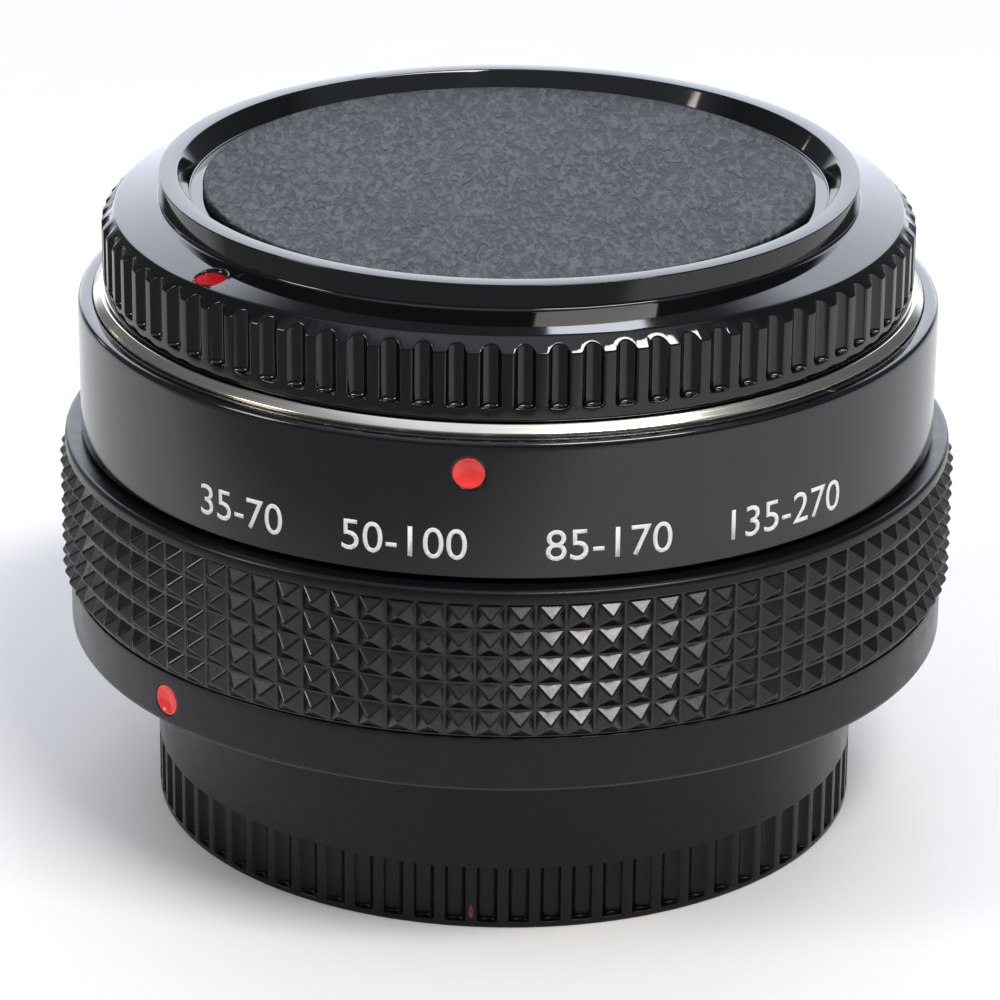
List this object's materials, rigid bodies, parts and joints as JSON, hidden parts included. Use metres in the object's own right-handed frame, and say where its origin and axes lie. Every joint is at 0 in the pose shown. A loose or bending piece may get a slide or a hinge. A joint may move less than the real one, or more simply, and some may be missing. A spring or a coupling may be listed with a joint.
{
  "type": "camera teleconverter",
  "caption": "Round tele converter for a reflex camera: knurled breech-lock ring, plain barrel, lens group inside, and a fluted cap turned onto each mount.",
  "frame": {"origin": "middle of the rear cap's base, on the surface that the part stands on", "axes": "+Z along the optical axis towards the front cap; -Y is the side of the barrel's index mark"},
  "size_m": [0.0644, 0.0644, 0.0472],
  "materials": {
    "black_casting": "matt black",
    "black_enamel": "semi-gloss",
    "black_anodised": "satin black",
    "chromed_brass": "satin chrome",
    "steel": "bright",
    "brass_ring": "turned",
    "optical_glass": "coated",
    "moulded_grip": "satin black",
    "gloss_cap": "gloss black",
    "satin_cap": "satin black",
    "grained_inlay": "grained",
    "red_dot": "gloss red",
    "red_paint": "paint",
    "dull_red_paint": "worn paint"
  },
  "bodies": {
    "converter": {"body_frame": "black_casting", "barrel_sleeve": "black_enamel", "index_dot": "red_dot", "front_mount": "chromed_brass", "front_mount_screws": "steel", "rear_mount": "chromed_brass", "rear_mount_screws": "steel", "locating_pin": "steel", "lock_stop_pin": "steel", "lens_cell": "black_anodised", "cell_screws": "steel", "front_element": "optical_glass", "second_element": "optical_glass", "element_spacer": "black_anodised", "front_retainer": "black_anodised", "third_element": "optical_glass", "rear_element": "optical_glass", "rear_retainer": "black_anodised", "upper_clip": "steel", "lower_clip": "steel", "aperture_spring": "steel", "signal_spring": "steel"},
    "lock_ring": {"lock_ring": "black_anodised", "grip_band": "moulded_grip", "lock_ring_dot": "red_dot"},
    "front_cap": {"front_cap": "gloss_cap", "front_cap_inlay": "grained_inlay", "front_cap_mark": "red_paint"},
    "rear_cap": {"rear_cap": "satin_cap", "rear_cap_mark": "dull_red_paint"},
    "aperture_coupler": {"aperture_ring": "brass_ring", "aperture_fork": "steel", "aperture_lever": "steel"},
    "signal_coupler": {"signal_ring": "brass_ring", "signal_fork": "steel", "signal_lever": "steel"}
  },
  "joints": [
    {"name": "lock_ring_turn", "type": "hinge", "parent": "converter", "child": "lock_ring", "pos_m": [0, 0, 0.0182], "axis": [0, 0, 1], "range_deg": [0, 43]},
    {"name": "front_cap_turn", "type": "hinge", "parent": "converter", "child": "front_cap", "pos_m": [0, 0, 0.0394], "axis": [0, 0, 1], "range_deg": [0, 44]},
    {"name": "rear_cap_turn", "type": "hinge", "parent": "converter", "child": "rear_cap", "pos_m": [0, 0, 0.0158], "axis": [0, 0, 1], "range_deg": [-43, 0]},
    {"name": "aperture_coupler_turn", "type": "hinge", "parent": "converter", "child": "aperture_coupler", "pos_m": [0, 0, 0.0256], "axis": [0, 0, 1], "range_deg": [0, 24], "stiffness_Nm_per_rad": 0.01, "springref_deg": -22.92, "deforming": ["aperture_spring"]},
    {"name": "signal_coupler_turn", "type": "hinge", "parent": "converter", "child": "signal_coupler", "pos_m": [0, 0, 0.0224], "axis": [0, 0, 1], "range_deg": [0, 36], "stiffness_Nm_per_rad": 0.01, "springref_deg": -22.92, "deforming": ["signal_spring"]}
  ]
}
